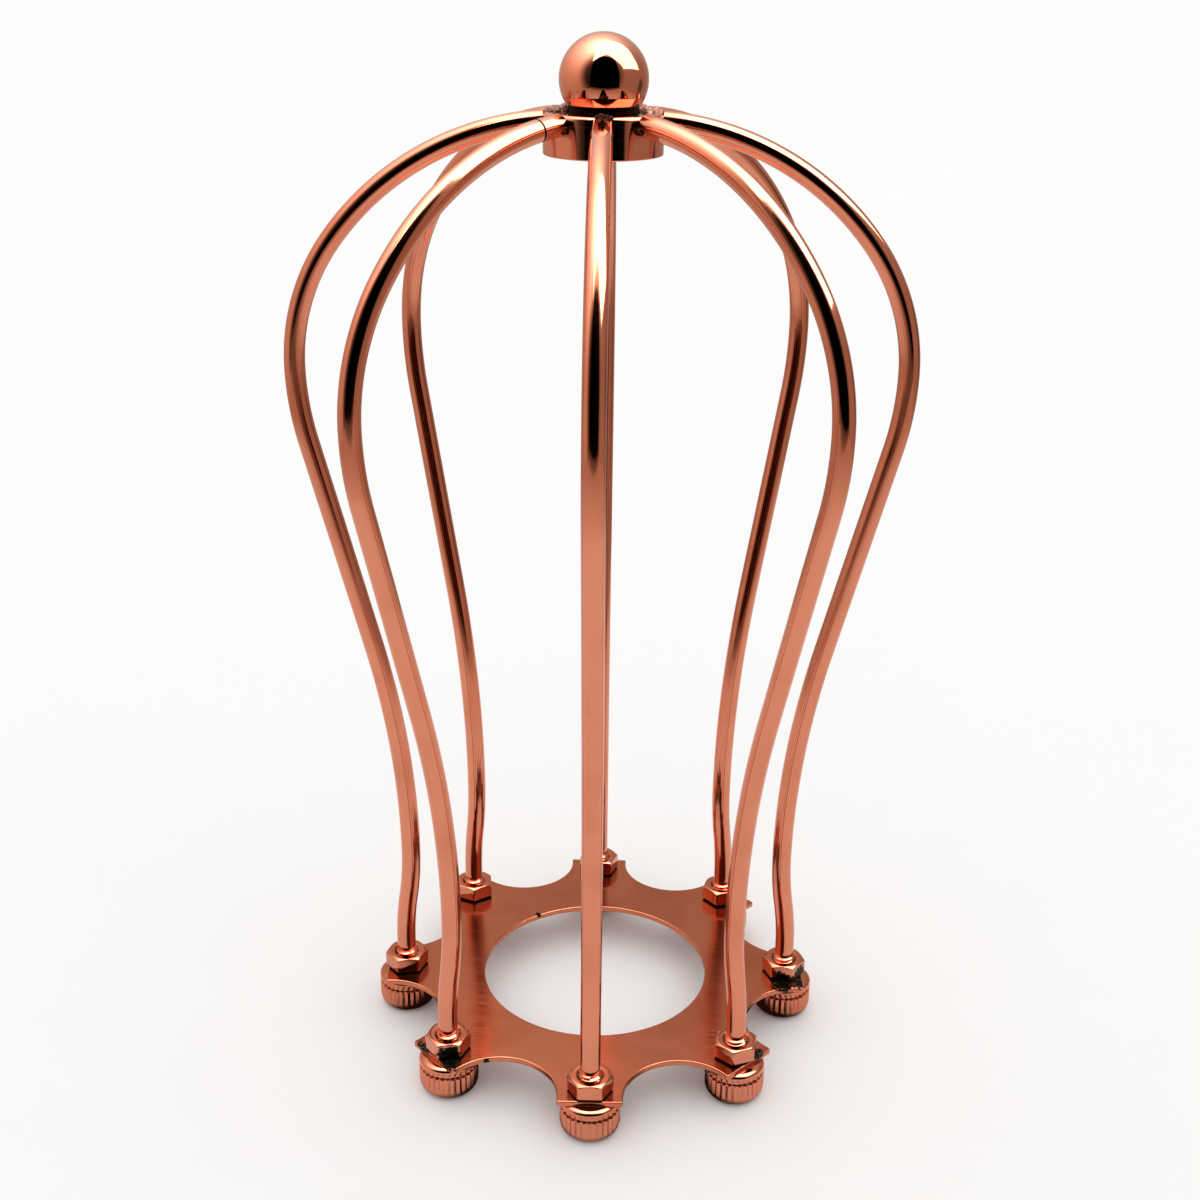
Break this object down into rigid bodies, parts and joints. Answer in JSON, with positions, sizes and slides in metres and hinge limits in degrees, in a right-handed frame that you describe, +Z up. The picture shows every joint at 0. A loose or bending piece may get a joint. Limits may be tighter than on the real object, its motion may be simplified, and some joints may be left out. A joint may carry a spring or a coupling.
{
  "type": "cage lampshade",
  "caption": "Balloon-shaped open wire cage that surrounds a light bulb: bent ribs run from a small domed cap with a ball to a scalloped plate with a lampholder hole.",
  "frame": {"origin": "on the cage's axis, on the plane that the knurled nuts stand on", "axes": "+Z up along the cage's axis, from the base plate to the ball; a rib stands on each of +X and +Y"},
  "size_m": [0.105, 0.105, 0.178],
  "materials": {
    "wire": "bright copper-coloured plating on drawn steel wire",
    "plate": "bright copper-coloured plating on punched steel sheet",
    "cap": "bright copper-coloured plating on drawn steel sheet",
    "ball": "mirror-polished copper-coloured plating",
    "hex_nut": "bright copper-coloured plating on steel nuts",
    "knurled_nut": "copper-coloured plating over a straight knurl",
    "screw": "bright copper-coloured plating on a steel screw"
  },
  "bodies": {
    "root": {"rib_1": "wire", "rib_2": "wire", "rib_3": "wire", "rib_4": "wire", "rib_5": "wire", "rib_6": "wire", "rib_7": "wire", "rib_8": "wire", "cap_nut_1": "knurled_nut", "cap_nut_2": "knurled_nut", "cap_nut_3": "knurled_nut", "cap_nut_4": "knurled_nut", "cap_nut_5": "knurled_nut", "cap_nut_6": "knurled_nut", "cap_nut_7": "knurled_nut", "cap_nut_8": "knurled_nut", "hex_nuts": "hex_nut", "base_plate": "plate", "cap": "cap", "ball_finial": "ball", "finial_screw": "screw"}
  },
  "joints": []
}
